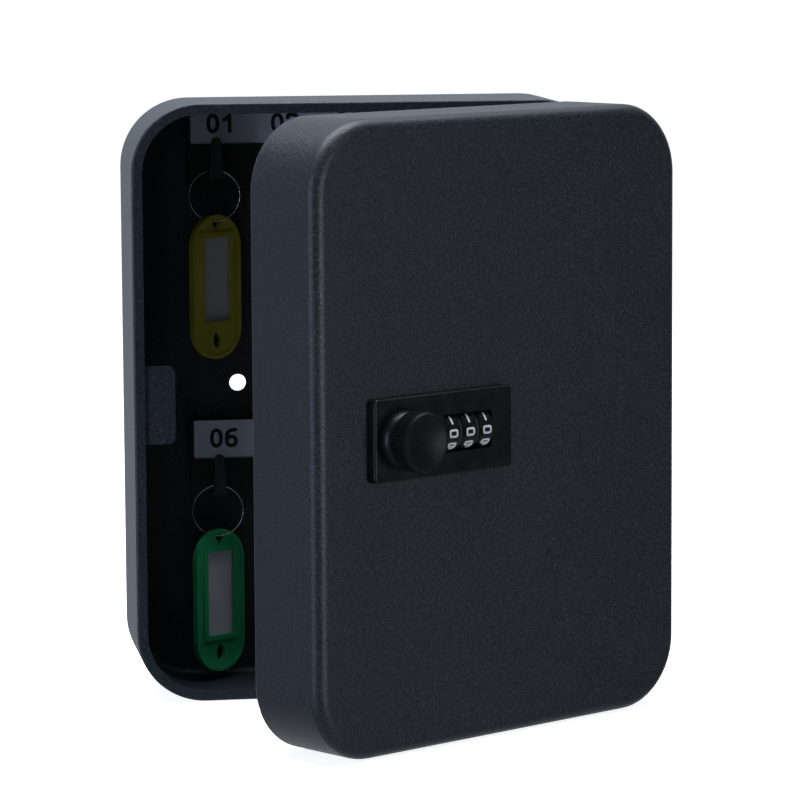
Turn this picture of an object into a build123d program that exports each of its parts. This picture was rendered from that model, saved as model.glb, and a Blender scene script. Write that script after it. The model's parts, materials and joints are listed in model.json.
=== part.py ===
from build123d import *
from math import asin, cos, degrees, radians, sin
import os

# Wall key cabinet: a back tray with numbered key hooks and a hinged front tray with a combination lock.
# Millimetres. X to the right, Z up, the wall behind the cabinet is the plane Y = 0 and the front faces -Y.
# The origin is the middle of the back face. Door pieces are drawn closed and then swung open.

# ---- trays ----
WIDTH = 160.0
HEIGHT = 200.0
BODY_DEPTH = 45.0
DOOR_DEPTH = 30.0
SEAM = 2.0
SHEET = 1.2
CORNER_RADIUS = 23.0
FACE_RADIUS = 4.0
RIM_RADIUS = 0.8
FLANGE = 3.6
HINGE_FLANGE = 12.0
WALL_HOLE_RADIUS = 2.9
WALL_HOLE_SPACING = 81.0
WALL_HOLE_Z = 2.0

DOOR_BACK = BODY_DEPTH + SEAM
FRONT = DOOR_BACK + DOOR_DEPTH
DOOR_REST_ANGLE = 34.0

# ---- piano hinge ----
LEAF = 0.8
KNUCKLE_RADIUS = 1.9
PIN_RADIUS = 1.0
PIN_CLEARANCE = 0.05
PIN_OVERHANG = 0.5
PIN_CHAMFER = 0.3
KNUCKLE_PITCH = 10.0
KNUCKLE_COUNT = 15
KNUCKLE_GAP = 0.3
HINGE_X = WIDTH / 2 + KNUCKLE_GAP + KNUCKLE_RADIUS
HINGE_Y = -(BODY_DEPTH + SEAM / 2)
HINGE_LENGTH = KNUCKLE_PITCH * KNUCKLE_COUNT
LEAF_MARGIN = 1.0
LEAF_INNER_X = WIDTH / 2 - HINGE_FLANGE + LEAF_MARGIN
HINGE_AXIS = Axis((HINGE_X, HINGE_Y, 0), (0, 0, 1))

# ---- strike plate behind the free edge of the body's flange ----
STRIKE_HEIGHT = 26.0
STRIKE_INNER_X = -66.2
STRIKE_GAP = 0.5
STRIKE_THICKNESS = 1.5
STRIKE_CORNER = 2.5

# ---- hook rails ----
RAIL_X = -2.1
RAIL_WIDTH = 110.8
RAIL_HEIGHT = 28.7
RAIL_DROP = 15.5
RAIL_THICKNESS = 2.5
RAIL_CORNER = 1.2
TAPE = 1.0
TAPE_INSET = 6.0
LAND = 1.8
LAND_INSET = 5.0
LEDGE_HEIGHT = 0.8
LEDGE_REACH = 0.7
LABEL_WIDTH = 108.4
LABEL_HEIGHT = 13.0
LABEL_THICKNESS = 0.3
HOOK_COUNT = 5
HOOK_PITCH = 22.0
HOOK_SHIFT = -3.0
HOOK_REACH = 13.0
HOOK_SHEET = 1.2
HOOK_TOP = 3.1
HOOK_BOTTOM = -10.8
HOOK_BASE_WIDTH = 4.8
HOOK_TIP_WIDTH = 3.2
HOOK_BAR_WIDTH = 4.0
TOP_ROW = 84.3
ROW_PITCH = 107.5
BOTTOM_ROW = TOP_ROW - ROW_PITCH
DOOR_BOTTOM_ROW = BOTTOM_ROW - 5.5

# ---- key rings and tags, which hang on the first hook of each body row ----
WIRE_RADIUS = 0.45
RING_RADIUS = 8.65
RING_DROP = 17.2
RING_Y = -13.0
TAG_TURN = 35.0
TAG_COS = cos(radians(TAG_TURN))
TAG_SIN = sin(radians(TAG_TURN))
TAG_WIDTH = 21.4
TAG_LENGTH = 49.0
TAG_TOP = 2.3
TAG_WEB = 1.4
TAG_RIM = 2.2
TAG_RIM_WIDTH = 1.2
TAG_FRAME = 2.6
HOLE_HALF = 2.3
HOLE_TOP = 0.5
HOLE_BOTTOM = -3.4
HOLE_CORNER = 0.35
CARD_WIDTH = 12.5
CARD_HEIGHT = 29.6
CARD_Y = -19.7
CARD_CLEARANCE = 0.1
CARD_BACK = -0.5
CARD_THICKNESS = 0.3
WINDOW_BACK = -0.1
WINDOW_THICKNESS = 0.6
WINDOW_LAP = 0.5
FRAME_BORDER = 1.3
FRAME_CORNER = 1.5
SLOT_Y = -40.3
SLOT_LENGTH = 6.0
SLOT_WIDTH = 3.5

# ---- combination lock, on the free side of the door ----
LOCK_X = -29.4
LOCK_Z = 0.4
BEZEL_WIDTH = 59.1
BEZEL_HEIGHT = 26.2
BEZEL_THICKNESS = 3.5
BEZEL_CORNER = 1.6
BEZEL_EDGE = 0.8
CUTOUT_WIDTH = 51.0
CUTOUT_HEIGHT = 17.4
CUTOUT_CLEARANCE = 0.2
CUTOUT_CORNER = 1.0
HOUSING_WIDTH = 55.6
HOUSING_HEIGHT = 23.0
HOUSING_DEPTH = 16.8
HOUSING_CORNER = 2.0
COVER_THICKNESS = 1.5
SHAFT_CLEARANCE = 0.05
KNOB_X = -47.4
KNOB_RADIUS = 9.45
KNOB_BACK = FRONT + 8.3
KNOB_FRONT = FRONT + 14.8
KNOB_EDGE = 0.6
KNOB_LIP = 1.4
KNOB_DISH = 1.3
KNOB_FOOT = 0.4
KNURL_COUNT = 60
KNURL_DEPTH = 0.35
COLLAR_RADIUS = 9.2
COLLAR_FOOT = 1.0
COLLAR_DOME = 3.5
SPINDLE_RADIUS = 4.0
SPINDLE_TAIL_RADIUS = 3.0
SPINDLE_STEP = 2.0
LOOSE_HOLE = 0.4
CAM_FRONT = 41.8
CAM_THICKNESS = 2.0
CAM_WIDTH = 9.0
CAM_REACH = 24.6
CAM_CORNER = 3.2
CAM_SQUARE = 4.2
CAM_THREAD_RADIUS = 2.0
NUT_THICKNESS = 3.0
NUT_RADIUS = 4.4
WHEEL_RADIUS = 7.0
WHEEL_WIDTH = 5.6
WHEEL_PITCH = 7.25
WHEEL_EDGE = 0.45
WHEEL_MIDDLE_X = -19.4
WHEEL_PROUD = 1.4
WHEEL_CLEARANCE = 0.35
WHEEL_COUNT = 3
DIVIDER = 1.0
DIVIDER_RADIUS = 6.5
AXLE_RADIUS = 1.5
AXLE_SEAT = 2.0
SCREW_RADIUS = 1.25
SCREW_HEAD_RADIUS = 2.3
SCREW_HEAD = 1.5
SCREW_BITE = 2.0
RECESS_LENGTH = 2.6
RECESS_WIDTH = 0.55
RECESS_DEPTH = 0.8
SCREW_SPACING_X = 46.5
SCREW_SPACING_Z = 13.0
BUTTON_X = -37.6
BUTTON_RADIUS = 1.6
BUTTON_TRAVEL = 1.2
BUTTON_PROUD = 1.5
BUTTON_DEPTH = 3.5

BEZEL_FRONT = FRONT + BEZEL_THICKNESS
SHEET_BACK = FRONT - SHEET
HOUSING_BACK = SHEET_BACK - HOUSING_DEPTH
COVER_BACK = HOUSING_BACK - COVER_THICKNESS
WHEEL_Y = -(BEZEL_FRONT + WHEEL_PROUD - WHEEL_RADIUS)
CAVITY_MARGIN = 0.4
CAVITY_WIDTH = WHEEL_PITCH * (WHEEL_COUNT - 1) + WHEEL_WIDTH + 2 * CAVITY_MARGIN
CAVITY_HEIGHT = 2 * WHEEL_RADIUS + 4 * CAVITY_MARGIN
WINDOW_HEIGHT = 12.0
WINDOW_CORNER = 0.6
SPRING = 0.4
SPRING_TIP = 0.6
SPRING_LEAF_WIDTH = 5.0
SPRING_BAR_Z = 4.5
SPRING_BAR_HEIGHT = 2.5
WHEEL_BACK = -WHEEL_Y - WHEEL_RADIUS
CAVITY_BACK = WHEEL_BACK - SPRING - SPRING_TIP - CAVITY_MARGIN

os.makedirs("parts", exist_ok=True)


def save(piece, name, on_door=False):
    """Labels a piece, swings it open with the door when it belongs there, and writes its file."""
    solid = piece.part
    if on_door:
        solid = solid.rotate(HINGE_AXIS, DOOR_REST_ANGLE)
    solid.label = name
    export_step(solid, f"parts/{name}.step")


def front_plane(depth, x=0.0, z=0.0):
    """A plane parallel to the cabinet's front, depth in front of the wall, facing the room."""
    return Plane(origin=(x, -depth, z), x_dir=(1, 0, 0), z_dir=(0, -1, 0))


def make_tray(back, front, floor_index):
    """A deep-drawn tray: rounded floor edge, thin walls and a return flange, wider at the hinge."""
    mouth_index = -1 - floor_index
    mouth = front - SHEET if floor_index == -1 else back
    opening_width = WIDTH - FLANGE - HINGE_FLANGE
    opening_height = HEIGHT - 2 * FLANGE
    opening_x = (FLANGE - HINGE_FLANGE) / 2
    with BuildPart() as tray:
        with BuildSketch(front_plane(back)):
            RectangleRounded(WIDTH, HEIGHT, CORNER_RADIUS)
        extrude(amount=front - back)
        fillet(tray.faces().sort_by(Axis.Y)[floor_index].edges(), FACE_RADIUS)
        offset(amount=-SHEET, openings=tray.faces().sort_by(Axis.Y)[mouth_index])
        with BuildSketch(front_plane(mouth)):
            RectangleRounded(WIDTH, HEIGHT, CORNER_RADIUS)
            with Locations((opening_x, 0)):
                RectangleRounded(opening_width, opening_height, CORNER_RADIUS - FLANGE, mode=Mode.SUBTRACT)
        extrude(amount=SHEET)
        mouth_face = tray.faces().sort_by(Axis.Y)[mouth_index]
        fillet(mouth_face.outer_wire().edges(), RIM_RADIUS)
    return tray


def make_leaf(face, step, first):
    """A hinge leaf that lies on a flange, with every second knuckle starting from first."""
    own = [i for i in range(KNUCKLE_COUNT) if i % 2 == first]
    others = [i for i in range(KNUCKLE_COUNT) if i % 2 != first]
    low = min(face, face + step)
    middle = (LEAF_INNER_X + HINGE_X) / 2

    def knuckle_z(i):
        return (i + 0.5) * KNUCKLE_PITCH - HINGE_LENGTH / 2

    with BuildPart() as leaf:
        with BuildSketch(Plane.XZ.offset(-low - LEAF)):
            with Locations((middle, 0)):
                Rectangle(HINGE_X - LEAF_INNER_X, HINGE_LENGTH)
        extrude(amount=LEAF)
        for i in own:
            length = KNUCKLE_PITCH - KNUCKLE_GAP
            with BuildSketch(Plane.XY.offset(knuckle_z(i) - length / 2)):
                with Locations((HINGE_X, HINGE_Y)):
                    Circle(KNUCKLE_RADIUS)
            extrude(amount=length)
        for i in others:
            length = KNUCKLE_PITCH + KNUCKLE_GAP
            with BuildSketch(Plane.XY.offset(knuckle_z(i) - length / 2)):
                with Locations((HINGE_X, HINGE_Y)):
                    Circle(KNUCKLE_RADIUS + KNUCKLE_GAP)
            extrude(amount=length, mode=Mode.SUBTRACT)
        with BuildSketch(Plane.XY.offset(-HINGE_LENGTH / 2 - 1)):
            with Locations((HINGE_X, HINGE_Y)):
                Circle(PIN_RADIUS + PIN_CLEARANCE)
        extrude(amount=HINGE_LENGTH + 2, mode=Mode.SUBTRACT)
    return leaf


def hook_positions():
    """Hook places along a rail, from its left end to its right end."""
    return [(i - (HOOK_COUNT - 1) / 2) * HOOK_PITCH + HOOK_SHIFT for i in range(HOOK_COUNT)]


def make_rail(wall):
    """A moulded rail on its wall plane: a plate on a raised land, a label ledge and five hooks."""
    plate_back = TAPE + LAND
    plate_front = plate_back + RAIL_THICKNESS
    rail_middle = RAIL_HEIGHT / 2 - RAIL_DROP
    with BuildPart() as rail:
        with BuildSketch(wall.offset(TAPE)):
            with Locations((0, rail_middle)):
                Rectangle(RAIL_WIDTH - 2 * LAND_INSET, RAIL_HEIGHT - 2 * LAND_INSET)
        extrude(amount=LAND)
        with BuildSketch(wall.offset(plate_back)):
            with Locations((0, rail_middle)):
                RectangleRounded(RAIL_WIDTH, RAIL_HEIGHT, RAIL_CORNER)
        extrude(amount=RAIL_THICKNESS)
        with BuildSketch(wall.offset(plate_front)):
            with Locations((0, -LEDGE_HEIGHT)):
                Rectangle(RAIL_WIDTH, LEDGE_HEIGHT, align=(Align.CENTER, Align.MIN))
        extrude(amount=LEDGE_REACH)
        with BuildSketch(wall.offset(plate_front)):
            for x in hook_positions():
                with Locations((x, HOOK_BOTTOM + HOOK_SHEET / 2)):
                    Rectangle(HOOK_BAR_WIDTH, HOOK_SHEET)
        extrude(amount=HOOK_REACH)
        for x in hook_positions():
            half_base = HOOK_BASE_WIDTH / 2
            half_tip = HOOK_TIP_WIDTH / 2
            shoulder = HOOK_TOP - half_tip
            with BuildSketch(wall.offset(plate_front + HOOK_REACH)):
                with BuildLine():
                    Polyline((x - half_tip, shoulder), (x - half_base, HOOK_BOTTOM),
                             (x + half_base, HOOK_BOTTOM), (x + half_tip, shoulder))
                    ThreePointArc((x + half_tip, shoulder), (x, HOOK_TOP), (x - half_tip, shoulder))
                make_face()
            extrude(amount=HOOK_SHEET)
    return rail


def make_tape(walls):
    """Foam tape pads between the rails and the steel."""
    with BuildPart() as tape:
        for wall in walls:
            with BuildSketch(wall):
                with Locations((0, RAIL_HEIGHT / 2 - RAIL_DROP)):
                    Rectangle(RAIL_WIDTH - 2 * TAPE_INSET, RAIL_HEIGHT - 2 * TAPE_INSET)
            extrude(amount=TAPE)
    return tape


def make_label(wall):
    """The printed number strip, which stands on the rail's ledge."""
    with BuildPart() as label:
        with BuildSketch(wall.offset(TAPE + LAND + RAIL_THICKNESS)):
            with Locations((0, LABEL_HEIGHT / 2)):
                Rectangle(LABEL_WIDTH, LABEL_HEIGHT)
        extrude(amount=LABEL_THICKNESS)
    return label


def body_wall(row):
    """The body's inner back face at a row of hooks. Its own origin is the label's lower edge."""
    return Plane(origin=(RAIL_X, -SHEET, row), x_dir=(1, 0, 0), z_dir=(0, -1, 0))


def door_wall(row):
    """The door's inner front face at a row of hooks, facing back into the cabinet."""
    return Plane(origin=(RAIL_X, -SHEET_BACK, row), x_dir=(-1, 0, 0), z_dir=(0, 1, 0))


# ---- body ----
body_tray = make_tray(0, BODY_DEPTH, -1)
with BuildPart() as body_shell:
    add(body_tray)
    with BuildSketch(front_plane(-1, 0, WALL_HOLE_Z)):
        with GridLocations(WALL_HOLE_SPACING, 0, 2, 1):
            Circle(WALL_HOLE_RADIUS)
    extrude(amount=SHEET + 2, mode=Mode.SUBTRACT)
save(body_shell, "body_shell")

strike_outer_x = -WIDTH / 2 + SHEET + STRIKE_GAP
with BuildPart() as strike_plate:
    with BuildSketch(front_plane(BODY_DEPTH - SHEET - STRIKE_THICKNESS)):
        with Locations((strike_outer_x, 0)):
            Rectangle(STRIKE_INNER_X - strike_outer_x, STRIKE_HEIGHT, align=(Align.MIN, Align.CENTER))
    extrude(amount=STRIKE_THICKNESS)
    fillet(strike_plate.edges().filter_by(Axis.Y).group_by(Axis.X)[-1], STRIKE_CORNER)
save(strike_plate, "strike_plate")

# ---- hinge ----
save(make_leaf(-BODY_DEPTH, -LEAF, 0), "hinge_leaf_body")
save(make_leaf(-DOOR_BACK, LEAF, 1), "hinge_leaf_door", on_door=True)

with BuildPart() as hinge_pin:
    with BuildSketch(Plane.XY.offset(-HINGE_LENGTH / 2 - PIN_OVERHANG)):
        with Locations((HINGE_X, HINGE_Y)):
            Circle(PIN_RADIUS)
    extrude(amount=HINGE_LENGTH + 2 * PIN_OVERHANG)
    chamfer(hinge_pin.edges().filter_by(GeomType.CIRCLE), PIN_CHAMFER)
save(hinge_pin, "hinge_pin")

# ---- hook rails, tape and labels in the body and in the door ----
save(make_rail(body_wall(TOP_ROW)), "hook_rail_top")
save(make_rail(body_wall(BOTTOM_ROW)), "hook_rail_bottom")
save(make_rail(door_wall(TOP_ROW)), "door_rail_top", on_door=True)
save(make_rail(door_wall(DOOR_BOTTOM_ROW)), "door_rail_bottom", on_door=True)
save(make_tape([body_wall(TOP_ROW), body_wall(BOTTOM_ROW)]), "rail_tape_body")
save(make_tape([door_wall(TOP_ROW), door_wall(DOOR_BOTTOM_ROW)]), "rail_tape_door", on_door=True)
save(make_label(body_wall(TOP_ROW)), "label_strip_top")
save(make_label(body_wall(BOTTOM_ROW)), "label_strip_bottom")
save(make_label(door_wall(TOP_ROW)), "door_label_top", on_door=True)
save(make_label(door_wall(DOOR_BOTTOM_ROW)), "door_label_bottom", on_door=True)

# ---- key rings and tags ----
for colour, row in (("yellow", TOP_ROW), ("green", BOTTOM_ROW)):
    hook_x = RAIL_X + hook_positions()[0]
    ring_z = row - RING_DROP
    with BuildPart() as key_ring:
        with BuildSketch(Plane.XY.offset(ring_z)):
            with Locations((hook_x + RING_RADIUS, RING_Y)):
                Circle(WIRE_RADIUS)
        revolve(axis=Axis((hook_x, RING_Y, ring_z), (0, 1, 0)))
    save(key_ring, f"key_ring_{colour}")

    # The tag's own plane goes through the ring's lowest point and is turned about the vertical,
    # so that the wire runs through the tag's hole from front to back.
    tag_plane = Plane(origin=(hook_x, RING_Y, ring_z - RING_RADIUS),
                      x_dir=(TAG_COS, TAG_SIN, 0), z_dir=(TAG_SIN, -TAG_COS, 0))
    tag_middle = TAG_TOP - TAG_LENGTH / 2
    slot_top = SLOT_Y + SLOT_LENGTH / 2
    slot_bottom = SLOT_Y - SLOT_LENGTH / 2
    with BuildPart() as tag_body:
        with BuildSketch(tag_plane):
            with Locations((0, tag_middle)):
                RectangleRounded(TAG_WIDTH, TAG_LENGTH, TAG_WIDTH / 2 - 0.01)
        extrude(amount=TAG_WEB / 2, both=True)
        with BuildSketch(tag_plane):
            with Locations((0, tag_middle)):
                RectangleRounded(TAG_WIDTH, TAG_LENGTH, TAG_WIDTH / 2 - 0.01)
                RectangleRounded(TAG_WIDTH - 2 * TAG_RIM_WIDTH, TAG_LENGTH - 2 * TAG_RIM_WIDTH,
                                 TAG_WIDTH / 2 - TAG_RIM_WIDTH - 0.01, mode=Mode.SUBTRACT)
        extrude(amount=TAG_RIM / 2, both=True)
        with BuildSketch(tag_plane):
            with Locations((0, CARD_Y)):
                RectangleRounded(CARD_WIDTH + 2 * FRAME_BORDER, CARD_HEIGHT + 2 * FRAME_BORDER, FRAME_CORNER)
        extrude(amount=TAG_FRAME / 2, both=True)
        with BuildSketch(tag_plane):
            with Locations((0, CARD_Y)):
                Rectangle(CARD_WIDTH + CARD_CLEARANCE, CARD_HEIGHT + CARD_CLEARANCE)
        extrude(amount=WINDOW_THICKNESS, both=True, mode=Mode.SUBTRACT)
        with BuildSketch(tag_plane):
            with Locations((0, CARD_Y)):
                RectangleRounded(CARD_WIDTH - 2 * WINDOW_LAP, CARD_HEIGHT - 2 * WINDOW_LAP, 0.5)
        extrude(amount=TAG_FRAME, mode=Mode.SUBTRACT)
        with BuildSketch(tag_plane) as ring_hole:
            Polygon((-HOLE_HALF, HOLE_TOP), (0, HOLE_BOTTOM), (HOLE_HALF, HOLE_TOP), align=None)
            fillet(ring_hole.vertices(), HOLE_CORNER)
        extrude(amount=TAG_FRAME, both=True, mode=Mode.SUBTRACT)
        with BuildSketch(tag_plane):
            with BuildLine():
                ThreePointArc((0, slot_top), (SLOT_WIDTH / 2, SLOT_Y), (0, slot_bottom))
                ThreePointArc((0, slot_bottom), (-SLOT_WIDTH / 2, SLOT_Y), (0, slot_top))
            make_face()
        extrude(amount=TAG_FRAME, both=True, mode=Mode.SUBTRACT)
    save(tag_body, f"tag_body_{colour}")

    with BuildPart() as tag_insert:
        with BuildSketch(tag_plane.offset(CARD_BACK)):
            with Locations((0, CARD_Y)):
                Rectangle(CARD_WIDTH, CARD_HEIGHT)
        extrude(amount=CARD_THICKNESS)
    save(tag_insert, f"tag_insert_{colour}")

    with BuildPart() as tag_window:
        with BuildSketch(tag_plane.offset(WINDOW_BACK)):
            with Locations((0, CARD_Y)):
                Rectangle(CARD_WIDTH, CARD_HEIGHT)
        extrude(amount=WINDOW_THICKNESS)
    save(tag_window, f"tag_window_{colour}")

# ---- door ----
door_tray = make_tray(DOOR_BACK, FRONT, 0)
with BuildPart() as door_shell:
    add(door_tray)
    with BuildSketch(front_plane(SHEET_BACK - 1, LOCK_X, LOCK_Z)):
        RectangleRounded(CUTOUT_WIDTH, CUTOUT_HEIGHT, CUTOUT_CORNER)
    extrude(amount=SHEET + 2, mode=Mode.SUBTRACT)
save(door_shell, "door_shell", on_door=True)

# ---- lock case ----
knob_axis = Axis((KNOB_X, 0, LOCK_Z), (0, 1, 0))

with BuildPart() as lock_bezel:
    with BuildSketch(front_plane(FRONT, LOCK_X, LOCK_Z)):
        RectangleRounded(BEZEL_WIDTH, BEZEL_HEIGHT, BEZEL_CORNER)
    extrude(amount=BEZEL_THICKNESS)
    fillet(lock_bezel.faces().sort_by(Axis.Y)[0].edges(), BEZEL_EDGE)
    with BuildSketch(front_plane(FRONT - 1, WHEEL_MIDDLE_X, LOCK_Z)):
        RectangleRounded(CAVITY_WIDTH, WINDOW_HEIGHT, WINDOW_CORNER)
    extrude(amount=BEZEL_THICKNESS + 2, mode=Mode.SUBTRACT)
    with BuildSketch(Plane.YZ.offset(WHEEL_MIDDLE_X - CAVITY_WIDTH / 2)):
        with Locations((WHEEL_Y, LOCK_Z)):
            Circle(WHEEL_RADIUS + WHEEL_CLEARANCE)
    extrude(amount=CAVITY_WIDTH, mode=Mode.SUBTRACT)
    with BuildSketch(front_plane(FRONT - 1, KNOB_X, LOCK_Z)):
        Circle(SPINDLE_RADIUS + LOOSE_HOLE)
    extrude(amount=BEZEL_THICKNESS + 2, mode=Mode.SUBTRACT)
    with BuildSketch(front_plane(FRONT, LOCK_X, LOCK_Z)):
        with GridLocations(SCREW_SPACING_X, SCREW_SPACING_Z, 2, 2):
            Circle(SCREW_RADIUS)
    extrude(amount=SCREW_BITE, mode=Mode.SUBTRACT)
save(lock_bezel, "lock_bezel", on_door=True)

with BuildPart() as knob_collar:
    with BuildSketch(Plane.XY.offset(LOCK_Z)):
        with BuildLine():
            bore = KNOB_X + SPINDLE_RADIUS + SHAFT_CLEARANCE
            rim = KNOB_X + COLLAR_RADIUS
            foot = -(BEZEL_FRONT + COLLAR_FOOT)
            top = foot - COLLAR_DOME
            Polyline((bore, top), (bore, -BEZEL_FRONT), (rim, -BEZEL_FRONT), (rim, foot))
            CenterArc((rim - COLLAR_DOME, foot), COLLAR_DOME, 0, -90)
            Line((rim - COLLAR_DOME, top), (bore, top))
        make_face()
    revolve(axis=knob_axis)
save(knob_collar, "knob_collar", on_door=True)

with BuildPart() as lock_housing:
    with BuildSketch(front_plane(HOUSING_BACK, LOCK_X, LOCK_Z)):
        RectangleRounded(HOUSING_WIDTH, HOUSING_HEIGHT, HOUSING_CORNER)
    extrude(amount=HOUSING_DEPTH)
    with BuildSketch(front_plane(SHEET_BACK, LOCK_X, LOCK_Z)):
        RectangleRounded(CUTOUT_WIDTH - 2 * CUTOUT_CLEARANCE, CUTOUT_HEIGHT - 2 * CUTOUT_CLEARANCE,
                         CUTOUT_CORNER - CUTOUT_CLEARANCE)
    extrude(amount=SHEET)
    with BuildSketch(front_plane(CAVITY_BACK, WHEEL_MIDDLE_X, LOCK_Z)):
        Rectangle(CAVITY_WIDTH, CAVITY_HEIGHT)
    extrude(amount=FRONT - CAVITY_BACK + 1, mode=Mode.SUBTRACT)
    # A thin round-nosed wall stands between one number wheel and the next.
    divider_back = WHEEL_BACK - CAVITY_MARGIN
    for side in (-1, 1):
        with BuildSketch(Plane.YZ.offset(WHEEL_MIDDLE_X + (side * WHEEL_PITCH - DIVIDER) / 2)):
            with Locations((WHEEL_Y, LOCK_Z)):
                Circle(DIVIDER_RADIUS)
            with Locations((-divider_back, LOCK_Z)):
                Rectangle(FRONT - divider_back, CAVITY_HEIGHT, align=(Align.MAX, Align.CENTER))
        extrude(amount=DIVIDER)
    with BuildSketch(front_plane(HOUSING_BACK - 1, KNOB_X, LOCK_Z)):
        Circle(SPINDLE_RADIUS + SHAFT_CLEARANCE)
    extrude(amount=HOUSING_DEPTH + 4, mode=Mode.SUBTRACT)
    with BuildSketch(front_plane(HOUSING_BACK - 1, LOCK_X, LOCK_Z)):
        with GridLocations(SCREW_SPACING_X, SCREW_SPACING_Z, 2, 2):
            Circle(SCREW_RADIUS)
    extrude(amount=HOUSING_DEPTH + 4, mode=Mode.SUBTRACT)
    with BuildSketch(Plane.YZ.offset(WHEEL_MIDDLE_X - CAVITY_WIDTH / 2 - AXLE_SEAT)):
        with Locations((WHEEL_Y, LOCK_Z)):
            Circle(AXLE_RADIUS)
    extrude(amount=CAVITY_WIDTH + 2 * AXLE_SEAT, mode=Mode.SUBTRACT)
    with BuildSketch(front_plane(HOUSING_BACK, BUTTON_X, LOCK_Z)):
        Circle(BUTTON_RADIUS + SHAFT_CLEARANCE)
    extrude(amount=BUTTON_DEPTH + BUTTON_TRAVEL + CAVITY_MARGIN, mode=Mode.SUBTRACT)
save(lock_housing, "lock_housing", on_door=True)

with BuildPart() as lock_rear_cover:
    with BuildSketch(front_plane(COVER_BACK, LOCK_X, LOCK_Z)):
        RectangleRounded(HOUSING_WIDTH, HOUSING_HEIGHT, HOUSING_CORNER)
        with GridLocations(SCREW_SPACING_X, SCREW_SPACING_Z, 2, 2):
            Circle(SCREW_RADIUS, mode=Mode.SUBTRACT)
        with Locations((KNOB_X - LOCK_X, 0)):
            Circle(SPINDLE_RADIUS + LOOSE_HOLE, mode=Mode.SUBTRACT)
        with Locations((BUTTON_X - LOCK_X, 0)):
            Circle(BUTTON_RADIUS + SHAFT_CLEARANCE, mode=Mode.SUBTRACT)
    extrude(amount=COVER_THICKNESS)
save(lock_rear_cover, "lock_rear_cover", on_door=True)

with BuildPart() as lock_screws:
    with BuildSketch(front_plane(COVER_BACK, LOCK_X, LOCK_Z)):
        with GridLocations(SCREW_SPACING_X, SCREW_SPACING_Z, 2, 2):
            Circle(SCREW_RADIUS)
    extrude(amount=FRONT + SCREW_BITE - COVER_BACK)
    with BuildSketch(front_plane(COVER_BACK - SCREW_HEAD, LOCK_X, LOCK_Z)):
        with GridLocations(SCREW_SPACING_X, SCREW_SPACING_Z, 2, 2):
            Circle(SCREW_HEAD_RADIUS)
    extrude(amount=SCREW_HEAD)
    fillet(lock_screws.faces().group_by(Axis.Y)[-1].edges(), 0.6)
    with BuildSketch(front_plane(COVER_BACK - SCREW_HEAD, LOCK_X, LOCK_Z)):
        with GridLocations(SCREW_SPACING_X, SCREW_SPACING_Z, 2, 2):
            Rectangle(RECESS_LENGTH, RECESS_WIDTH)
            Rectangle(RECESS_WIDTH, RECESS_LENGTH)
    extrude(amount=RECESS_DEPTH, mode=Mode.SUBTRACT)
save(lock_screws, "lock_screws", on_door=True)

# ---- number wheels ----
with BuildPart() as wheel_axle:
    with BuildSketch(Plane.YZ.offset(WHEEL_MIDDLE_X - CAVITY_WIDTH / 2 - AXLE_SEAT)):
        with Locations((WHEEL_Y, LOCK_Z)):
            Circle(AXLE_RADIUS)
    extrude(amount=CAVITY_WIDTH + 2 * AXLE_SEAT)
save(wheel_axle, "wheel_axle", on_door=True)

for number in range(WHEEL_COUNT):
    wheel_x = WHEEL_MIDDLE_X + (number - 1) * WHEEL_PITCH
    with BuildPart() as digit_wheel:
        with BuildSketch(Plane.YZ.offset(wheel_x - WHEEL_WIDTH / 2)):
            with Locations((WHEEL_Y, LOCK_Z)):
                Circle(WHEEL_RADIUS)
        extrude(amount=WHEEL_WIDTH)
        chamfer(digit_wheel.edges().filter_by(GeomType.CIRCLE), WHEEL_EDGE)
        with BuildSketch(Plane.YZ.offset(wheel_x - WHEEL_WIDTH / 2)):
            with Locations((WHEEL_Y, LOCK_Z)):
                Circle(AXLE_RADIUS + PIN_CLEARANCE)
        extrude(amount=WHEEL_WIDTH, mode=Mode.SUBTRACT)
    save(digit_wheel, f"digit_wheel_{number + 1}", on_door=True)

with BuildPart() as detent_spring:
    with BuildSketch(front_plane(CAVITY_BACK, WHEEL_MIDDLE_X, LOCK_Z)):
        with GridLocations(WHEEL_PITCH, 0, WHEEL_COUNT, 1):
            Rectangle(SPRING_LEAF_WIDTH, CAVITY_HEIGHT - 4)
        with Locations((0, SPRING_BAR_Z)):
            Rectangle(CAVITY_WIDTH - 1, SPRING_BAR_HEIGHT)
    extrude(amount=SPRING)
    with BuildSketch(front_plane(CAVITY_BACK + SPRING, WHEEL_MIDDLE_X, LOCK_Z)):
        with GridLocations(WHEEL_PITCH, 0, WHEEL_COUNT, 1):
            Rectangle(SPRING_LEAF_WIDTH - 1, 1.0)
    extrude(amount=SPRING_TIP)
save(detent_spring, "detent_spring", on_door=True)

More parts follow.
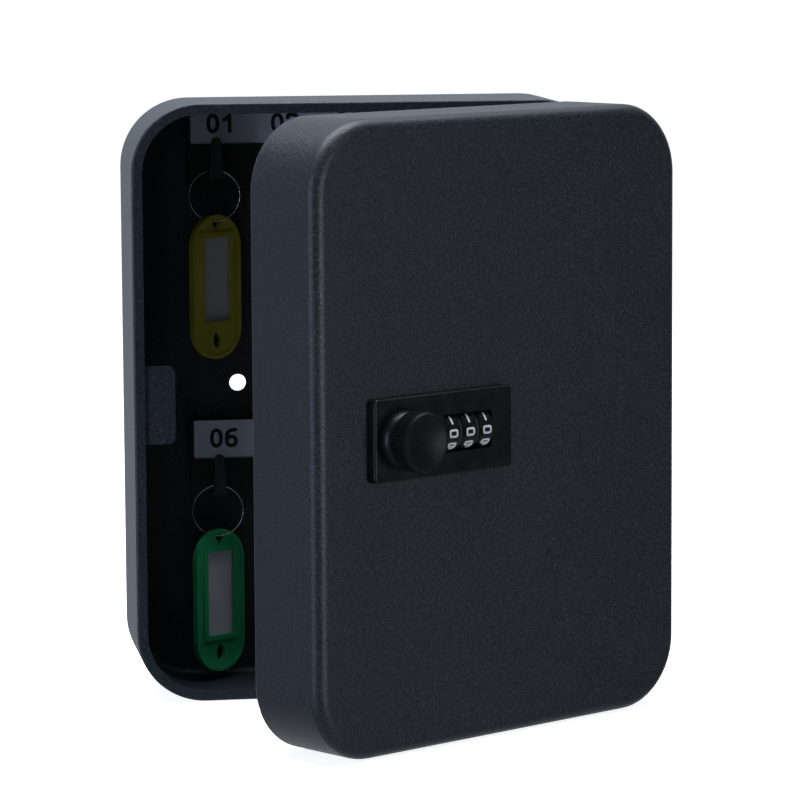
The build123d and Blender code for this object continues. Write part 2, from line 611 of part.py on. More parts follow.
# ---- knob, spindle and cam ----
with BuildPart() as knob:
    with BuildSketch(Plane.XY.offset(LOCK_Z)):
        with BuildLine():
            edge = KNOB_X + KNOB_RADIUS
            lip = edge - KNOB_LIP
            floor = -(KNOB_FRONT - KNOB_DISH)
            dish_radius = ((lip - KNOB_X) ** 2 + KNOB_DISH ** 2) / (2 * KNOB_DISH)
            dish_angle = degrees(asin((lip - KNOB_X) / dish_radius))
            Polyline((KNOB_X, floor), (KNOB_X, -KNOB_BACK), (edge - KNOB_FOOT, -KNOB_BACK),
                     (edge, -KNOB_BACK - KNOB_FOOT), (edge, -KNOB_FRONT + KNOB_EDGE),
                     (edge - KNOB_EDGE, -KNOB_FRONT), (lip, -KNOB_FRONT))
            CenterArc((KNOB_X, floor - dish_radius), dish_radius, 90 - dish_angle, dish_angle)
        make_face()
    revolve(axis=knob_axis)
    with BuildSketch(front_plane(KNOB_BACK + KNOB_EDGE, KNOB_X, LOCK_Z)):
        with PolarLocations(KNOB_RADIUS + 0.05, KNURL_COUNT, start_angle=180 / KNURL_COUNT):
            Rectangle(KNURL_DEPTH * 1.42, KNURL_DEPTH * 1.42, rotation=45)
    extrude(amount=KNOB_FRONT - KNOB_BACK - 2 * KNOB_EDGE, mode=Mode.SUBTRACT)
save(knob, "knob", on_door=True)

cam_back = CAM_FRONT - CAM_THICKNESS
nut_back = cam_back - NUT_THICKNESS
with BuildPart() as knob_spindle:
    with BuildSketch(front_plane(COVER_BACK - SPINDLE_STEP, KNOB_X, LOCK_Z)):
        Circle(SPINDLE_RADIUS)
    extrude(amount=KNOB_BACK - COVER_BACK + SPINDLE_STEP)
    with BuildSketch(front_plane(CAM_FRONT, KNOB_X, LOCK_Z)):
        Circle(SPINDLE_TAIL_RADIUS)
    extrude(amount=COVER_BACK - SPINDLE_STEP - CAM_FRONT)
    with BuildSketch(front_plane(cam_back, KNOB_X, LOCK_Z)):
        Rectangle(CAM_SQUARE, CAM_SQUARE)
    extrude(amount=CAM_THICKNESS)
    with BuildSketch(front_plane(nut_back - 1, KNOB_X, LOCK_Z)):
        Circle(CAM_THREAD_RADIUS)
    extrude(amount=NUT_THICKNESS + 1)
save(knob_spindle, "knob_spindle", on_door=True)

# The cam hangs down while the lock is open and points to the free edge when it is locked.
with BuildPart() as lock_cam:
    with BuildSketch(front_plane(cam_back, KNOB_X, LOCK_Z)):
        with Locations((0, -CAM_REACH / 2 + CAM_WIDTH / 4)):
            RectangleRounded(CAM_WIDTH, CAM_REACH + CAM_WIDTH / 2, CAM_CORNER)
        Rectangle(CAM_SQUARE, CAM_SQUARE, mode=Mode.SUBTRACT)
    extrude(amount=CAM_THICKNESS)
save(lock_cam, "lock_cam", on_door=True)

with BuildPart() as cam_nut:
    with BuildSketch(front_plane(nut_back, KNOB_X, LOCK_Z)):
        RegularPolygon(NUT_RADIUS, 6)
        Circle(CAM_THREAD_RADIUS, mode=Mode.SUBTRACT)
    extrude(amount=NUT_THICKNESS)
save(cam_nut, "cam_nut", on_door=True)

with BuildPart() as reset_button:
    with BuildSketch(front_plane(COVER_BACK - BUTTON_PROUD, BUTTON_X, LOCK_Z)):
        Circle(BUTTON_RADIUS)
    extrude(amount=BUTTON_PROUD + COVER_THICKNESS + BUTTON_DEPTH)
    fillet(reset_button.faces().sort_by(Axis.Y)[-1].edges(), 0.4)
save(reset_button, "reset_button", on_door=True)
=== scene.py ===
import json
import math

import bmesh
import bpy
import numpy as np
from mathutils import Matrix, Vector


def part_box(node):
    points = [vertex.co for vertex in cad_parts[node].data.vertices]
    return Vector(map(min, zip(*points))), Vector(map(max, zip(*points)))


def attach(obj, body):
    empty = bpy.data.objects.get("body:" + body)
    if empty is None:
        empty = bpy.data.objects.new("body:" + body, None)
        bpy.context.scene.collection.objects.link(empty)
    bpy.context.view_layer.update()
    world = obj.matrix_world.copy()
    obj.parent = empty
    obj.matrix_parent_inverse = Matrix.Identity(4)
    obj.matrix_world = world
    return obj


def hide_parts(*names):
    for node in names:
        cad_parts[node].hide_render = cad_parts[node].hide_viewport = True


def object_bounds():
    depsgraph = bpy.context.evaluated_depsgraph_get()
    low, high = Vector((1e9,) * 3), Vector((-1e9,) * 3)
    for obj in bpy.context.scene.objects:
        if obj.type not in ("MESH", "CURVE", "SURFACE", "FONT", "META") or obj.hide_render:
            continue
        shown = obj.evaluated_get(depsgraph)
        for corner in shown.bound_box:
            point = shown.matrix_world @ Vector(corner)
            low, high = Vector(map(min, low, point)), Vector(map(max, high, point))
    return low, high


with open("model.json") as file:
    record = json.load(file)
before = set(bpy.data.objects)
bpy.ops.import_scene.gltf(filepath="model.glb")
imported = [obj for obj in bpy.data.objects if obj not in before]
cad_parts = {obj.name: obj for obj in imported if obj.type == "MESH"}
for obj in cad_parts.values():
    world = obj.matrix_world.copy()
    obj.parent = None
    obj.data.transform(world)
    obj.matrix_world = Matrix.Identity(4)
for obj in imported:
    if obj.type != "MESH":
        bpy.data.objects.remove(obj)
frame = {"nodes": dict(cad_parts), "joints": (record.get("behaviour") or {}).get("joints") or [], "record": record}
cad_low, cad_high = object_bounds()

# Looks of a wall key cabinet: two powder-coated steel trays, numbered hook rails, two tags on split rings
# and a lock with a knurled knob and three number wheels. Metres, Z up, the wall is the plane Y = 0.
MM = 0.001

# ---- camera ----
CAMERA_PLACE = Vector((-200.68, -1409.62, 170.40)) * MM
CAMERA_YAW = math.radians(9.57)
CAMERA_PITCH = math.radians(7.04)
CAMERA_ROLL = math.radians(-0.24)
CAMERA_LENS = 187.02
CAMERA_SENSOR = 36.0
CAMERA_SHIFT = -0.075

# ---- light: the sky gains strength, from low to high, as the direction goes from start to end on an axis ----
SKY_SIDES = [
    {"axis": "Y", "start": 0.2, "end": 1.0, "low": 0.01, "high": 0.66},
    {"axis": "X", "start": -0.3, "end": -1.0, "low": 0.0, "high": 0.05},
    {"axis": "Z", "start": -0.1, "end": -0.8, "low": 0.0, "high": 0.30},
    {"axis": "Z", "start": 0.1, "end": 1.0, "low": 0.0, "high": 0.06},
]
SKY_COLOUR = (0.90, 0.97, 1.06)
BACKDROP = (1.0, 1.0, 1.0)
FLOOR_SIZE = 30.0
FLOOR_GAP = 0.3 * MM
FLOOR_COLOUR = (0.90, 0.905, 0.91)
FLOOR_ROUGHNESS = 0.85
FLOOR_GLOW = 0.95
TRAY_MIDDLE = (0, -0.05, 0)
MOUTH_MIDDLE = (0, -0.08, 0.0)
BELOW_MIDDLE = (0, -0.08, -0.02)
DAYLIGHT = (0.93, 0.97, 1.05)
BLUISH = (0.80, 0.90, 1.18)
COOL = (0.92, 0.98, 1.04)
NEAR_WHITE = (0.96, 0.99, 1.03)
SOFT_BOXES = {
    "top_box": {"place": (0.0, 0.0, 1.1), "target": TRAY_MIDDLE, "size": (1.3, 0.7),
                "power": 21.0, "colour": DAYLIGHT},
    "left_box": {"place": (-1.3, 0.10, 0.15), "target": MOUTH_MIDDLE, "size": (0.6, 1.0),
                 "power": 0.6, "colour": BLUISH},
    "low_left_box": {"place": (-1.25, -0.95, 0.10), "target": MOUTH_MIDDLE, "size": (0.5, 1.0),
                     "power": 6.5, "colour": BLUISH},
    "right_box": {"place": (0.85, -1.15, -0.04), "target": BELOW_MIDDLE, "size": (0.5, 0.36),
                  "power": 5.0, "colour": COOL},
    "front_strip": {"place": (-0.42, -1.35, 0.22), "target": MOUTH_MIDDLE, "size": (0.05, 0.8),
                    "power": 0.16, "colour": NEAR_WHITE},
}

# ---- surfaces: the range of a noise that shows, shades of the powder coat with painted light on the back tray, and a mix node's sockets ----
NOISE_LOW = 0.3
NOISE_HIGH = 0.7
NOISE_ROUGHNESS = 0.55
CLOUD_LOW = 0.35
CLOUD_HIGH = 0.65
CLOUD_SHADE = (0.90, 0.90, 0.92)
WHITE = (1.0, 1.0, 1.0)
PALE_GRAIN = 2.0
# painted light: the back tray has the same coat as the door, painted this much paler to brighten its rim, sides
# and inner walls
BODY_PAINTED_LIGHT_GAIN = 1.6
MIX_FIRST = 6
MIX_SECOND = 7
MIX_RESULT = 2

# ---- printed numbers: width and height are those of the strokes' middle lines ----
WHEELS = 3
WHEEL_DIGITS = 10
WHEEL_DIGIT = {
    "width": 2.98 * MM, "height": 2.05 * MM, "stroke": 0.72 * MM, "grid": 0.10 * MM, "corner": 0.14,
}
LABEL_DIGIT = {
    "width": 3.15 * MM, "height": 5.4 * MM, "stroke": 1.30 * MM, "grid": 0.20 * MM, "corner": 0.27,
}
LABEL_ADVANCE = 5.15 * MM
LABEL_RISE = 0.4 * MM
LABEL_FIELDS = 5
LABEL_PITCH = 22.0 * MM
INK = 0.03 * MM
INK_OUTWARD = 0.3
FAR_AWAY = 1000 * MM

# ---- split rings ----
RING_TURN_STEPS = 96
RING_JOG = 0.35
RING_ROUNDNESS = 6

# ---- spot welds on the hinge leaves ----
WELD_RADIUS = 1.5 * MM
WELD_HEIGHT = 0.12 * MM
WELD_PITCH = 25.0 * MM
WELD_RINGS = 5
WELD_SEGMENTS = 24


# ======== where the door's pieces are ========
swing = next(j for j in frame["joints"] if j["name"] == "door_swing")
hinge = Vector(swing["pos_m"])
open_angle = -math.radians(swing["range_deg"][0])
DOOR_OPEN = Matrix.Translation(hinge) @ Matrix.Rotation(open_angle, 4, "Z") @ Matrix.Translation(-hinge)
DOOR_SHUT = DOOR_OPEN.inverted()


def shut_box(node):
    """Lowest and highest corners of a door node, measured with the door shut."""
    corners = [DOOR_SHUT @ vertex.co for vertex in frame["nodes"][node].data.vertices]
    low = Vector(min(c[i] for c in corners) for i in range(3))
    high = Vector(max(c[i] for c in corners) for i in range(3))
    return low, high


# ======== materials ========
def add_node(tree, kind, inputs, settings):
    """Adds a node with its settings, its plain input values and its links from other nodes."""
    made = tree.nodes.new(kind)
    for key, value in settings.items():
        setattr(made, key, value)
    for key, value in inputs.items():
        if isinstance(value, bpy.types.NodeSocket):
            tree.links.new(value, made.inputs[key])
        else:
            made.inputs[key].default_value = value
    return made


class Graph:
    """A material's node tree, with short ways to add texture and bump."""

    def __init__(self, name):
        self.material = bpy.data.materials.new(name)
        self.material.use_nodes = True
        self.tree = self.material.node_tree
        self.shader = self.tree.nodes["Principled BSDF"]
        self.place = self.tree.nodes.new("ShaderNodeTexCoord").outputs["Object"]

    def node(self, kind, inputs, **settings):
        return add_node(self.tree, kind, inputs, settings)

    def noise(self, size, detail=3.0, stretch=None):
        """Cloudy noise with features of about size metres, drawn out along an axis by stretch."""
        place = self.place
        if stretch:
            place = self.node("ShaderNodeMapping", {"Vector": place, "Scale": stretch}).outputs[0]
        inputs = {"Vector": place, "Scale": 1 / size, "Detail": detail, "Roughness": NOISE_ROUGHNESS}
        return self.node("ShaderNodeTexNoise", inputs).outputs["Fac"]

    def cells(self, size):
        """Rounded cells of about size metres."""
        inputs = {"Vector": self.place, "Scale": 1 / size}
        return self.node("ShaderNodeTexVoronoi", inputs, feature="SMOOTH_F1").outputs["Distance"]

    def ramp(self, value, low, high):
        """A number that goes from low to high over the middle range of a noise."""
        inputs = {"Value": value, "From Min": NOISE_LOW, "From Max": NOISE_HIGH}
        inputs.update({"To Min": low, "To Max": high})
        return self.node("ShaderNodeMapRange", inputs).outputs[0]

    def colours(self, value, stops):
        """A colour ramp through stops of (place, colour)."""
        ramp = self.node("ShaderNodeValToRGB", {"Fac": value})
        elements = ramp.color_ramp.elements
        elements[0].position, elements[0].color = stops[0][0], (*stops[0][1], 1)
        elements[1].position, elements[1].color = stops[-1][0], (*stops[-1][1], 1)
        for place, colour in stops[1:-1]:
            elements.new(place).color = (*colour, 1)
        return ramp.outputs["Color"]

    def bump(self, height, distance, under=None):
        """Relief of the given depth in metres, on top of another relief if there is one."""
        inputs = {"Height": height, "Distance": distance, "Strength": 1.0}
        if under:
            inputs["Normal"] = under
        return self.node("ShaderNodeBump", inputs).outputs["Normal"]

    def finish(self, **values):
        """Sets the shader's sockets: a number or colour as it is, a texture as a link."""
        for key, value in values.items():
            name = key.replace("_", " ").title().replace("Ior", "IOR")
            socket = self.shader.inputs[name]
            if isinstance(value, bpy.types.NodeSocket):
                self.tree.links.new(value, socket)
            else:
                socket.default_value = (*value, 1) if isinstance(value, tuple) else value
        return self.material


def powder_coat(name, dark, light, gloss):
    """Fine textured powder coat: small grains, a slight orange peel and a few paler grains."""
    g = Graph(name)
    grain = g.noise(0.65 * MM, detail=2.0)
    peel = g.noise(3.2 * MM, detail=2.0)
    cloud = g.noise(28 * MM, detail=2.0)
    pale = tuple(PALE_GRAIN * c for c in light)
    tint = g.colours(grain, [(0.36, dark), (0.58, light), (0.72, pale)])
    shade = g.colours(cloud, [(CLOUD_LOW, CLOUD_SHADE), (CLOUD_HIGH, WHITE)])
    inputs = {"Factor": 1.0, MIX_FIRST: tint, MIX_SECOND: shade}
    colour = g.node("ShaderNodeMix", inputs, data_type="RGBA", blend_type="MULTIPLY")
    rough = g.ramp(grain, gloss - 0.07, gloss + 0.10)
    relief = g.bump(peel, 0.035 * MM)
    relief = g.bump(grain, 0.10 * MM, relief)
    return g.finish(base_color=colour.outputs[MIX_RESULT], roughness=rough, normal=relief)


def moulded(name, dark, light, gloss, depth=0.008 * MM, shine=0.5):
    """Moulded or cast part: even colour with slight clouding, a fine skin and small gloss changes."""
    g = Graph(name)
    grain = g.noise(0.25 * MM, detail=3.0)
    cloud = g.noise(6 * MM, detail=3.0)
    colour = g.colours(cloud, [(CLOUD_LOW, dark), (CLOUD_HIGH, light)])
    rough = g.ramp(cloud, gloss - 0.05, gloss + 0.07)
    relief = g.bump(cloud, 0.02 * MM)
    relief = g.bump(grain, depth, relief)
    return g.finish(base_color=colour, roughness=rough, normal=relief, specular_ior_level=shine)


def plated(name, dark, light, gloss, stretch=(1, 1, 6)):
    """Plated metal: drawn out scratches, cloudy plating and small changes of gloss."""
    g = Graph(name)
    lines = g.noise(0.5 * MM, detail=4.0, stretch=stretch)
    cloud = g.noise(2.5 * MM, detail=3.0)
    colour = g.colours(cloud, [(CLOUD_LOW, dark), (CLOUD_HIGH, light)])
    rough = g.ramp(lines, gloss - 0.06, gloss + 0.12)
    relief = g.bump(lines, 0.004 * MM)
    return g.finish(base_color=colour, roughness=rough, normal=relief, metallic=1.0)


def card(name, dark, light):
    """Card with paper fibres and faint stains."""
    g = Graph(name)
    fibres = g.noise(0.35 * MM, detail=4.0, stretch=(1, 1, 2.5))
    stain = g.noise(9 * MM, detail=3.0)
    colour = g.colours(stain, [(NOISE_LOW, dark), (NOISE_HIGH, light)])
    rough = g.ramp(fibres, 0.55, 0.75)
    return g.finish(base_color=colour, roughness=rough, normal=g.bump(fibres, 0.012 * MM))


def foam(name, dark, light):
    """Closed-cell foam of the tape pads."""
    g = Graph(name)
    cells = g.cells(0.6 * MM)
    colour = g.colours(cells, [(0.1, dark), (0.8, light)])
    return g.finish(base_color=colour, roughness=0.92, normal=g.bump(cells, 0.12 * MM))


def tag_plastic(name, dark, light):
    """Glossy coloured plastic that glows a little, with flow marks and fine scratches."""
    g = Graph(name)
    flow = g.noise(7 * MM, detail=2.0, stretch=(1, 1, 0.35))
    skin = g.noise(0.3 * MM, detail=3.0)
    colour = g.colours(flow, [(NOISE_LOW, dark), (NOISE_HIGH, light)])
    rough = g.ramp(skin, 0.24, 0.40)
    relief = g.bump(flow, 0.05 * MM)
    relief = g.bump(skin, 0.006 * MM, relief)
    return g.finish(base_color=colour, roughness=rough, normal=relief, subsurface_weight=0.15,
                    subsurface_scale=1.5 * MM)


def clear_sheet(name):
    """Clear plastic sheet: light goes straight through, with a weak gloss and hairline scratches."""
    g = Graph(name)
    hair = g.noise(0.4 * MM, detail=4.0, stretch=(1, 1, 8))
    rough = g.ramp(hair, 0.10, 0.24)
    relief = g.bump(hair, 0.004 * MM)
    return g.finish(base_color=(0.9, 0.92, 0.94), roughness=rough, normal=relief, alpha=0.14, ior=1.49)


STEEL_DARK = (0.0120, 0.0155, 0.0195)
STEEL_LIGHT = (0.0210, 0.0268, 0.0335)
# The back tray's coat: the door's coat, made paler as painted light.
BODY_DARK_WITH_PAINTED_LIGHT = tuple(BODY_PAINTED_LIGHT_GAIN * c for c in STEEL_DARK)
BODY_LIGHT_WITH_PAINTED_LIGHT = tuple(BODY_PAINTED_LIGHT_GAIN * c for c in STEEL_LIGHT)
LOCK_DARK = (0.0036, 0.0039, 0.0043)
LOCK_LIGHT = (0.0044, 0.0047, 0.0051)
KNOB_DARK = (0.0038, 0.0041, 0.0045)
KNOB_LIGHT = (0.0048, 0.0051, 0.0055)
MATERIALS = {
    "powder_coat": powder_coat("powder_coat", BODY_DARK_WITH_PAINTED_LIGHT, BODY_LIGHT_WITH_PAINTED_LIGHT, 0.44),
    "powder_coat_door": powder_coat("powder_coat_door", STEEL_DARK, STEEL_LIGHT, 0.44),
    "zinc_steel": plated("zinc_steel", (0.42, 0.43, 0.43), (0.58, 0.58, 0.56), 0.34),
    "black_steel": powder_coat("black_steel", (0.012, 0.013, 0.015), (0.022, 0.024, 0.028), 0.42),
    "foam_tape": foam("foam_tape", (0.035, 0.035, 0.037), (0.075, 0.075, 0.08)),
    "rail_plastic": moulded("rail_plastic", (0.0085, 0.0088, 0.0095), (0.012, 0.0125, 0.0135), 0.42),
    # painted shade: the white label card is given the blue-grey of the shade it sits in
    "label_card": card("label_card", (0.62, 0.68, 0.80), (0.72, 0.77, 0.87)),
    "lock_black": moulded("lock_black", LOCK_DARK, LOCK_LIGHT, 0.38, shine=0.32),
    "lock_case": moulded("lock_case", (0.014, 0.014, 0.015), (0.022, 0.022, 0.024), 0.50, depth=0.02 * MM),
    "knob_black": moulded("knob_black", KNOB_DARK, KNOB_LIGHT, 0.46, shine=0.24),
    "wheel_black": moulded("wheel_black", (0.0040, 0.0042, 0.0046), (0.0065, 0.0068, 0.0072), 0.30),
    "spring_steel": plated("spring_steel", (0.50, 0.50, 0.48), (0.64, 0.63, 0.60), 0.24),
    "ring_steel": plated("ring_steel", (0.62, 0.61, 0.58), (0.78, 0.77, 0.74), 0.16, stretch=(1, 1, 1)),
    "tag_yellow": tag_plastic("tag_yellow", (0.46, 0.42, 0.045), (0.55, 0.51, 0.065)),
    "tag_green": tag_plastic("tag_green", (0.025, 0.38, 0.15), (0.038, 0.48, 0.19)),
    "card_paper": card("card_paper", (0.56, 0.58, 0.61), (0.64, 0.65, 0.68)),
    "clear_plastic": clear_sheet("clear_plastic"),
    "button_red": moulded("button_red", (0.36, 0.015, 0.012), (0.48, 0.03, 0.025), 0.38),
    "digit_white": moulded("digit_white", (0.78, 0.79, 0.80), (0.88, 0.89, 0.90), 0.45, depth=0.004 * MM),
    "label_ink": moulded("label_ink", (0.010, 0.010, 0.012), (0.016, 0.016, 0.018), 0.55, depth=0.003 * MM),
}

for part in frame["record"]["subparts"]:
    mesh = frame["nodes"][part["node"]].data
    mesh.materials.clear()
    mesh.materials.append(MATERIALS[part["material_slot"]])


# ======== pieces made here ========
def new_object(name, mesh, material):
    obj = bpy.data.objects.new(name, mesh)
    bpy.context.scene.collection.objects.link(obj)
    mesh.materials.append(MATERIALS[material])
    return obj


def cut_corners(points, closed, share, rounds=3):
    """Rounds a stroke's corners by cutting off a share of each side, a few times over."""
    for _ in range(rounds):
        pairs = list(zip(points, points[1:] + points[:1] if closed else points[1:]))
        cut = []
        for a, b in pairs:
            cut.append(((1 - share) * a[0] + share * b[0], (1 - share) * a[1] + share * b[1]))
            cut.append((share * a[0] + (1 - share) * b[0], share * a[1] + (1 - share) * b[1]))
        points = cut if closed else [points[0], *cut[1:-1], points[-1]]
    return points


LOOP = True
LINE = False
# Strokes of the digits 0 to 9, in a cell two wide and two high that only the 1 stands out of:
# a closed loop or an open line, and its corners.
STROKES = [
    [(LOOP, [(-1, -1), (1, -1), (1, 1), (-1, 1)])],
    [(LINE, [(0, -1.15), (0, 1.15)])],
    [(LINE, [(-1, 0.6), (-1, 1), (1, 1), (1, 0.1), (-1, -0.5), (-1, -1)]), (LINE, [(-1, -1), (1, -1)])],
    [(LINE, [(-1, 0.7), (-1, 1), (1, 1), (1, 0), (0, 0)]),
     (LINE, [(0, 0), (1, 0), (1, -1), (-1, -1), (-1, -0.7)])],
    [(LINE, [(0.4, -1), (0.4, 1)]), (LINE, [(0.4, 1), (-1, -0.4)]), (LINE, [(-1, -0.4), (1, -0.4)])],
    [(LINE, [(0.9, 1), (-0.8, 1)]), (LINE, [(-0.8, 1), (-1, 0.1)]),
     (LINE, [(-1, 0.1), (-0.3, 0.4), (1, 0.3), (1, -1), (-1, -1), (-1, -0.6)])],
    [(LOOP, [(-1, -1), (1, -1), (1, 0.15), (-1, 0.15)]),
     (LINE, [(-1, -0.4), (-1, 0.5), (-0.3, 1), (0.9, 1)])],
    [(LINE, [(-1, 1), (1, 1)]), (LINE, [(1, 1), (-0.2, 0.1), (-0.3, -1)])],
    [(LOOP, [(-1, -1), (1, -1), (1, 0), (-1, 0)]), (LOOP, [(-0.9, 0), (0.9, 0), (0.9, 1), (-0.9, 1)])],
    [(LOOP, [(-1, -0.15), (1, -0.15), (1, 1), (-1, 1)]),
     (LINE, [(1, 0.4), (1, -0.5), (0.7, -1), (-0.2, -1)])],
]
# The 1 of the label strips, which has a flag.
LABEL_ONE = [(LINE, [(0.35, -1), (0.35, 1)]), (LINE, [(0.35, 1), (-0.15, 0.62), (-0.85, 0.45)])]


def digit_sheet(strokes, width, height, stroke, grid, corner):
    """Flat points and faces of one digit, filled in on a fine grid up to the edge of its strokes.

    far is each grid point's distance from the nearest stroke's middle line, and starts at FAR_AWAY.
    """
    reach = stroke / 2
    columns = np.arange(-width / 2 - 2 * reach, width / 2 + 2 * reach, grid)
    rows = np.arange(-height / 2 - 2 * reach, height / 2 + 2 * reach, grid)
    gx, gy = np.meshgrid(columns, rows, indexing="ij")
    far = np.full(gx.shape, FAR_AWAY)
    for closed, corners in strokes:
        path = cut_corners(corners, closed, corner)
        ends = path[1:] + path[:1] if closed else path[1:]
        for a, b in zip(path, ends):
            ax, ay = a[0] * width / 2, a[1] * height / 2
            dx, dy = b[0] * width / 2 - ax, b[1] * height / 2 - ay
            along = np.clip(((gx - ax) * dx + (gy - ay) * dy) / (dx * dx + dy * dy), 0, 1)
            far = np.minimum(far, np.hypot(gx - ax - along * dx, gy - ay - along * dy))
    depth = far - reach
    points, faces, known = [], [], {}

    def vertex(key, x, y):
        if key not in known:
            known[key] = len(points)
            points.append((x, y))
        return known[key]

    for i in range(len(columns) - 1):
        for j in range(len(rows) - 1):
            ring = [(i, j), (i + 1, j), (i + 1, j + 1), (i, j + 1)]
            face = []
            for p, q in zip(ring, ring[1:] + ring[:1]):
                if depth[p] < 0:
                    face.append(vertex(p, columns[p[0]], rows[p[1]]))
                if (depth[p] < 0) != (depth[q] < 0):
                    low, high = min(p, q), max(p, q)
                    share = depth[low] / (depth[low] - depth[high])
                    x = columns[low[0]] + share * (columns[high[0]] - columns[low[0]])
                    y = rows[low[1]] + share * (rows[high[1]] - rows[low[1]])
                    face.append(vertex((low, high), x, y))
            if len(face) > 2:
                faces.append(face)
    return points, faces


def printed(name, points, faces, material):
    """A thin layer of ink over the given surface."""
    mesh = bpy.data.meshes.new(name)
    mesh.from_pydata(points, [], faces)
    obj = new_object(name, mesh, material)
    ink = obj.modifiers.new("ink", "SOLIDIFY")
    ink.thickness = INK
    ink.offset = INK_OUTWARD
    return obj


def wheel_digits(number):
    """The ten printed digits of one wheel, wrapped on its rim, with 0 at the front and 1 above it."""
    low, high = shut_box(f"digit_wheel_{number}")
    middle = (low + high) / 2
    radius = (high.z - low.z) / 2
    points, faces = [], []
    for digit in range(WHEEL_DIGITS):
        sheet_points, sheet_faces = digit_sheet(STROKES[digit], **WHEEL_DIGIT)
        start = len(points)
        for across, up in sheet_points:
            turn = digit * 2 * math.pi / WHEEL_DIGITS + up / radius
            rim = Vector((across, -radius * math.cos(turn), radius * math.sin(turn)))
            points.append(DOOR_OPEN @ (middle + rim))
        faces += [[start + k for k in face] for face in sheet_faces]
    obj = printed(f"wheel_digits_{number}", points, faces, "digit_white")
    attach(obj, f"wheel_{number}")


def label_numbers(name, node, body, first, inside):
    """The numbers of one label strip. A strip inside the door reads from behind."""
    low, high = shut_box(node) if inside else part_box(node)
    middle = (low + high) / 2
    side, face = (-1, high.y) if inside else (1, low.y)
    points, faces = [], []
    for field in range(LABEL_FIELDS):
        text = f"{first + field:02d}"
        for k, character in enumerate(text):
            strokes = LABEL_ONE if character == "1" else STROKES[int(character)]
            sheet_points, sheet_faces = digit_sheet(strokes, **LABEL_DIGIT)
            start = len(points)
            shift = (field - (LABEL_FIELDS - 1) / 2) * LABEL_PITCH + (k - 0.5) * LABEL_ADVANCE
            for across, up in sheet_points:
                point = Vector((middle.x + side * (shift + across), face, middle.z + LABEL_RISE + up))
                points.append(DOOR_OPEN @ point if inside else point)
            faces += [[start + i for i in corners] for corners in sheet_faces]
    obj = printed(name, points, faces, "label_ink")
    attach(obj, body)


def split_ring(colour):
    """A split ring of two flat turns of wire, side by side, with a jog from one to the other."""
    low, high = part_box(f"key_ring_{colour}")
    centre = (low + high) / 2
    wire = (high.y - low.y) / 4    # the radius of the wire, as the ring is two wires thick
    radius = (high.x - low.x) / 2 - 2 * wire
    curve = bpy.data.curves.new(f"split_ring_{colour}", "CURVE")
    curve.dimensions = "3D"
    curve.bevel_depth = wire
    curve.bevel_resolution = RING_ROUNDNESS
    curve.use_fill_caps = True
    spline = curve.splines.new("POLY")
    steps = 2 * RING_TURN_STEPS
    spline.points.add(steps)
    start, end = RING_JOG, 4 * math.pi - RING_JOG
    for i in range(steps + 1):
        angle = start + (end - start) * i / steps
        across = min(max((angle - 2 * math.pi + RING_JOG) / (2 * RING_JOG), 0), 1)
        side = -wire + 2 * wire * (3 * across ** 2 - 2 * across ** 3)
        place = centre + Vector((radius * math.sin(angle), side, -radius * math.cos(angle)))
        spline.points[i].co = (*place, 1)
    obj = new_object(f"split_ring_{colour}", curve, "ring_steel")
    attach(obj, f"ring_{colour}")
    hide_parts(f"key_ring_{colour}")


def weld_dots(name, node, body, on_door):
    """A row of low round spot welds down a hinge leaf."""
    low, high = shut_box(node) if on_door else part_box(node)
    outward = 1 if on_door else -1
    leaf_x = low.x + 2 * WELD_RADIUS
    flat = [DOOR_SHUT @ v.co if on_door else v.co for v in frame["nodes"][node].data.vertices]
    near = [p.y for p in flat if p.x < leaf_x]
    face = max(near) if on_door else min(near)
    count = int((high.z - low.z) / WELD_PITCH)
    whole = bmesh.new()
    for i in range(count):
        up = (low.z + high.z) / 2 + (i - (count - 1) / 2) * WELD_PITCH
        centre = Vector((leaf_x + WELD_RADIUS, face, up))
        rings = []
        for k in range(WELD_RINGS + 1):
            lean = k / WELD_RINGS * math.pi / 2
            out = WELD_RADIUS * math.cos(lean)
            rise = outward * WELD_HEIGHT * math.sin(lean)
            if k == WELD_RINGS:
                rings.append([whole.verts.new(centre + Vector((0, rise, 0)))])
                break
            ring = []
            for s in range(WELD_SEGMENTS):
                turn = 2 * math.pi * s / WELD_SEGMENTS
                rim = Vector((out * math.cos(turn), rise, out * math.sin(turn)))
                ring.append(whole.verts.new(centre + rim))
            rings.append(ring)
        for inner, outer in zip(rings[1:], rings):
            for s in range(WELD_SEGMENTS):
                after = (s + 1) % WELD_SEGMENTS
                top = [inner[0]] if len(inner) == 1 else [inner[after], inner[s]]
                whole.faces.new([outer[s], outer[after], *top])
        whole.faces.new(rings[0])
    bmesh.ops.recalc_face_normals(whole, faces=whole.faces)
    mesh = bpy.data.meshes.new(name)
    whole.to_mesh(mesh)
    whole.free()
    if on_door:
        mesh.transform(DOOR_OPEN)
    mesh.shade_smooth()
    obj = new_object(name, mesh, "black_steel")
    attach(obj, body)


for wheel in range(WHEELS):
    wheel_digits(wheel + 1)
label_numbers("numbers_top", "label_strip_top", "body", first=1, inside=False)
label_numbers("numbers_bottom", "label_strip_bottom", "body", first=6, inside=False)
label_numbers("door_numbers_top", "door_label_top", "door", first=11, inside=True)
label_numbers("door_numbers_bottom", "door_label_bottom", "door", first=16, inside=True)
split_ring("yellow")
split_ring("green")
weld_dots("leaf_welds_body", "hinge_leaf_body", "body", on_door=False)
weld_dots("leaf_welds_door", "hinge_leaf_door", "door", on_door=True)


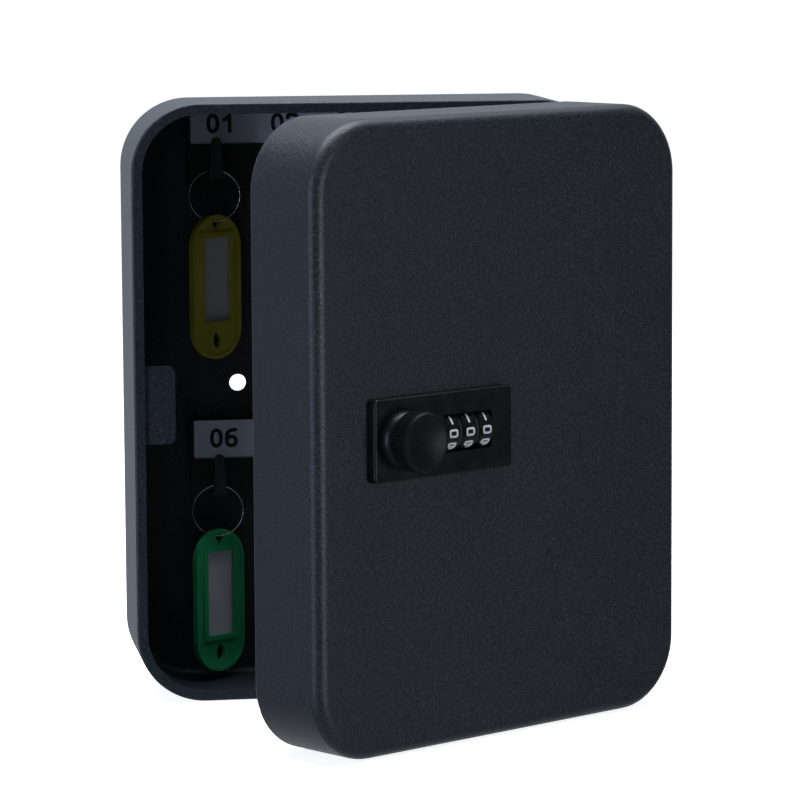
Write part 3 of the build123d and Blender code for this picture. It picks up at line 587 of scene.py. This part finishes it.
# ======== camera, floor and light ========
def make_camera():
    camera = bpy.data.cameras.new("camera")
    camera.sensor_width = CAMERA_SENSOR
    camera.lens = CAMERA_LENS
    camera.shift_x = CAMERA_SHIFT
    forward = Vector((math.sin(CAMERA_YAW) * math.cos(CAMERA_PITCH),
                      math.cos(CAMERA_YAW) * math.cos(CAMERA_PITCH), -math.sin(CAMERA_PITCH)))
    level = Vector((math.cos(CAMERA_YAW), -math.sin(CAMERA_YAW), 0))
    above = level.cross(forward)
    right = math.cos(CAMERA_ROLL) * level + math.sin(CAMERA_ROLL) * above
    up = math.cos(CAMERA_ROLL) * above - math.sin(CAMERA_ROLL) * level
    axes = Matrix((right, up, -forward)).transposed()
    obj = bpy.data.objects.new("camera", camera)
    obj.matrix_world = Matrix.Translation(CAMERA_PLACE) @ axes.to_4x4()
    bpy.context.scene.collection.objects.link(obj)
    bpy.context.scene.camera = obj


def make_floor():
    mesh = bpy.data.meshes.new("floor")
    half = FLOOR_SIZE / 2
    level = cad_low.z - FLOOR_GAP
    corners = [(-half, -half, level), (half, -half, level), (half, half, level), (-half, half, level)]
    mesh.from_pydata(corners, [], [(0, 1, 2, 3)])
    g = Graph("floor")
    g.finish(base_color=FLOOR_COLOUR, roughness=FLOOR_ROUGHNESS)
    g.finish(emission_color=FLOOR_COLOUR, emission_strength=FLOOR_GLOW)
    mesh.materials.append(g.material)
    obj = bpy.data.objects.new("floor", mesh)
    obj.visible_diffuse = False
    obj.visible_glossy = False
    obj.visible_shadow = False
    bpy.context.scene.collection.objects.link(obj)


def make_sky():
    """Soft studio light: strongest from behind and from below, and almost none from the front."""
    world = bpy.data.worlds.new("studio")
    bpy.context.scene.world = world
    world.use_nodes = True
    tree = world.node_tree
    tree.nodes.clear()

    def node(kind, inputs, **settings):
        return add_node(tree, kind, inputs, settings).outputs[0]

    axes = tree.nodes.new("ShaderNodeSeparateXYZ")
    coordinates = tree.nodes.new("ShaderNodeTexCoord")
    tree.links.new(coordinates.outputs["Generated"], axes.inputs[0])
    parts = []
    for side in SKY_SIDES:
        inputs = {"Value": axes.outputs[side["axis"]], "From Min": side["start"], "From Max": side["end"]}
        inputs.update({"To Min": side["low"], "To Max": side["high"]})
        parts.append(node("ShaderNodeMapRange", inputs, interpolation_type="SMOOTHSTEP"))
    total = parts[0]
    for part in parts[1:]:
        total = node("ShaderNodeMath", {0: total, 1: part}, operation="ADD")
    light = node("ShaderNodeBackground", {"Color": (*SKY_COLOUR, 1), "Strength": total})
    seen = node("ShaderNodeBackground", {"Color": (*BACKDROP, 1), "Strength": 1.0})
    ray = tree.nodes.new("ShaderNodeLightPath").outputs["Is Camera Ray"]
    mixed = node("ShaderNodeMixShader", {0: ray, 1: light, 2: seen})
    tree.links.new(mixed, tree.nodes.new("ShaderNodeOutputWorld").inputs["Surface"])


def soft_box(name, place, target, size, power, colour):
    """A rectangular lamp at a place, turned to face the target."""
    light = bpy.data.lights.new(name, "AREA")
    light.color = colour
    light.shape = "RECTANGLE"
    light.size, light.size_y = size
    light.energy = power
    obj = bpy.data.objects.new(name, light)
    obj.location = place
    obj.rotation_euler = (Vector(target) - Vector(place)).to_track_quat("-Z", "Y").to_euler()
    bpy.context.scene.collection.objects.link(obj)


make_camera()
make_floor()
make_sky()
for light_name, facts in SOFT_BOXES.items():
    soft_box(light_name, **facts)

bpy.context.scene.view_settings.view_transform = "Standard"
bpy.context.scene.view_settings.look = "None"
